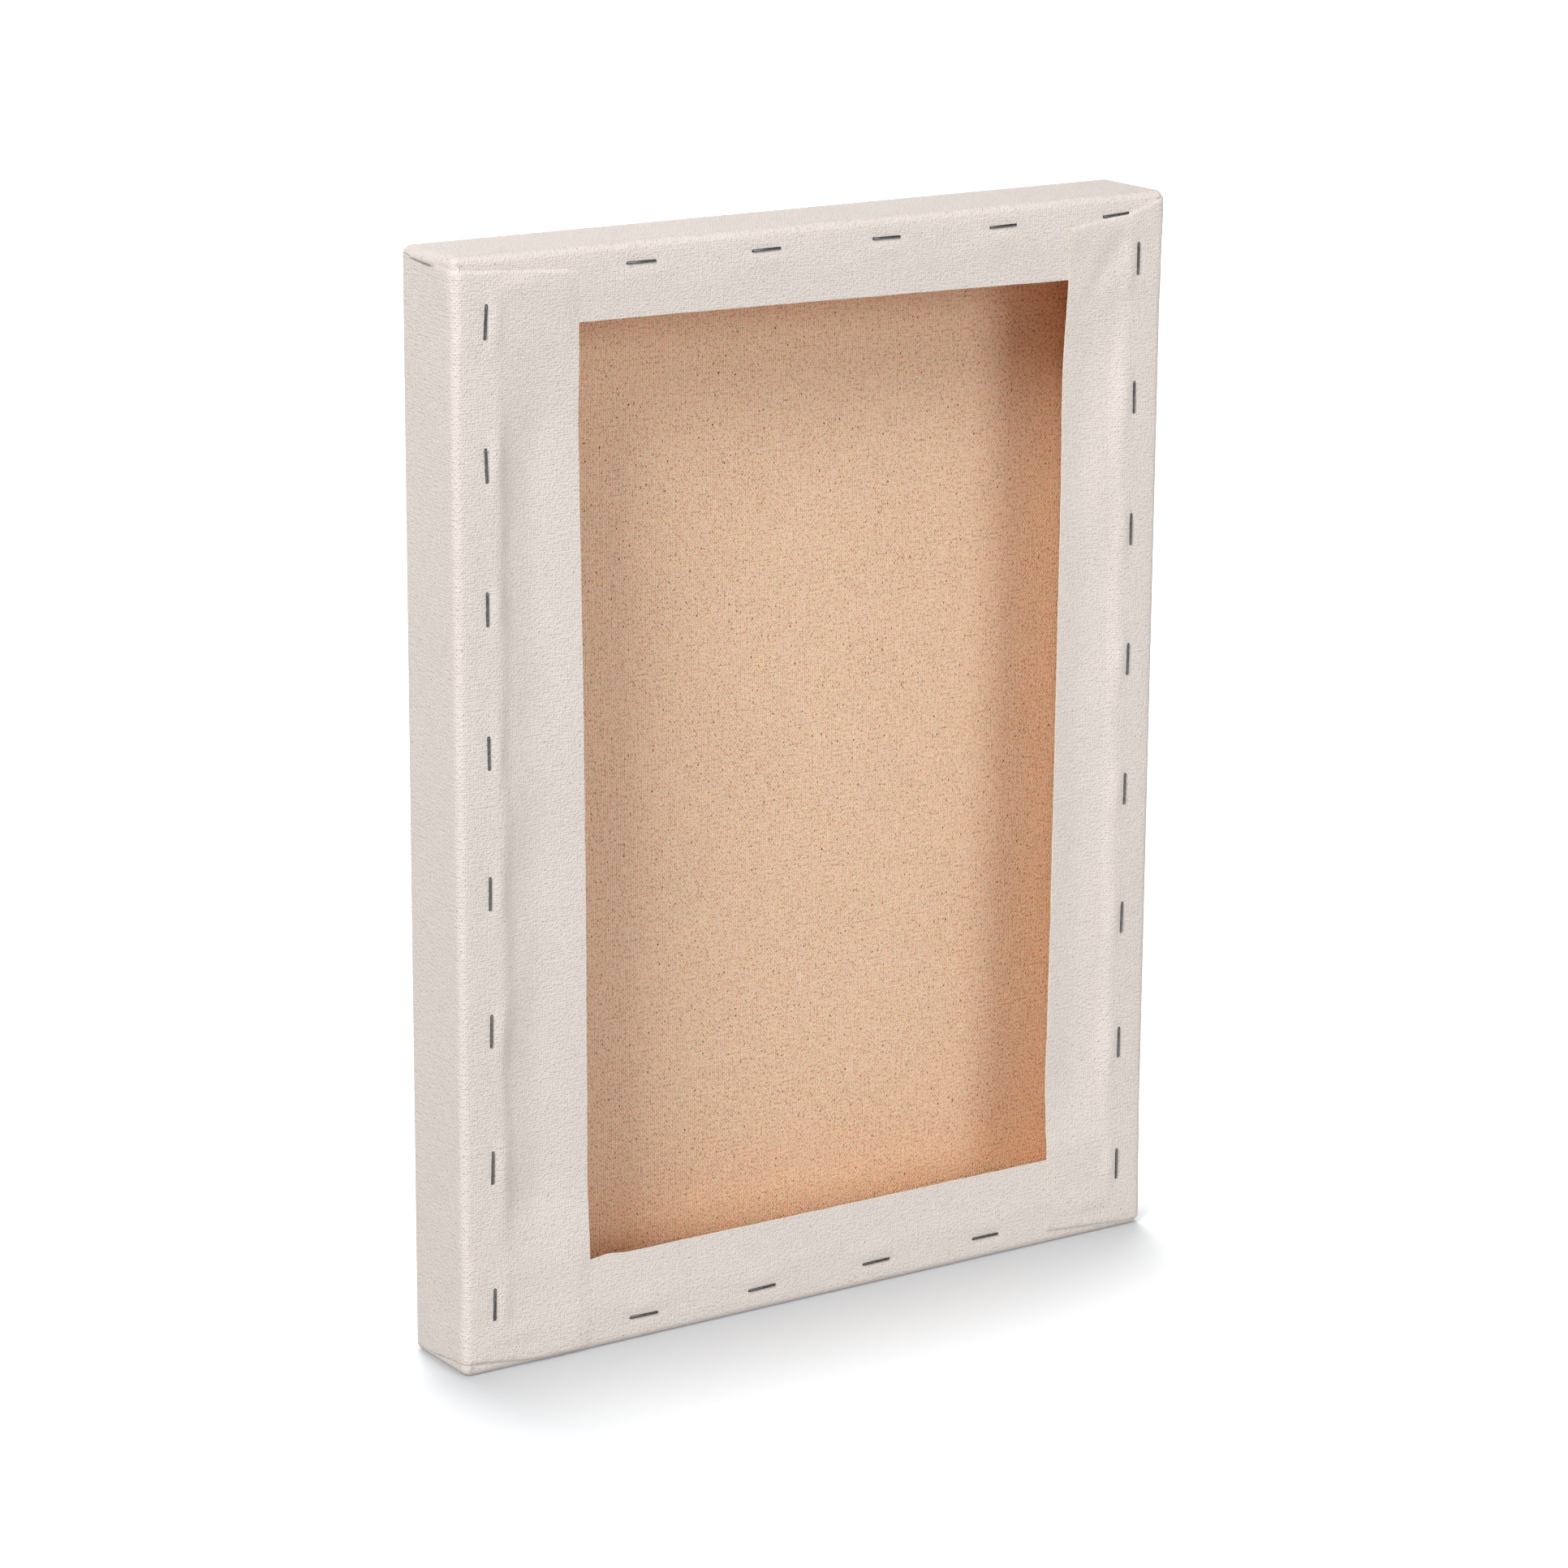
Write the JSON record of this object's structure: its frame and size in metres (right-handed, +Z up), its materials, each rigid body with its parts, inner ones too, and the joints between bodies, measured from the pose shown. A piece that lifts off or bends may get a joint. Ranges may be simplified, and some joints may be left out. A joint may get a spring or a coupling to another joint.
{
  "type": "stretched canvas",
  "caption": "Blank primed canvas wrapped over a deep mitred stretcher frame, folded at the corners and stapled to the back of the bars, ready to paint or hang.",
  "frame": {"origin": "bottom centre of the whole part, on the surface that the canvas stands on", "axes": "+Z up, +Y out of the painting face, +X to the right when seen from behind"},
  "size_m": [0.3012, 0.038, 0.4012],
  "materials": {
    "stretcher_pine": "planed softwood, unfinished",
    "primed_cloth": "white acrylic primer over plain-weave cotton, raw tan cotton inside",
    "staple_wire": "galvanised flat wire"
  },
  "bodies": {
    "root": {"bar_top": "stretcher_pine", "bar_bottom": "stretcher_pine", "bar_left": "stretcher_pine", "bar_right": "stretcher_pine", "cloth": "primed_cloth", "staples_top": "staple_wire", "staples_bottom": "staple_wire", "staples_left": "staple_wire", "staples_right": "staple_wire"}
  },
  "joints": []
}
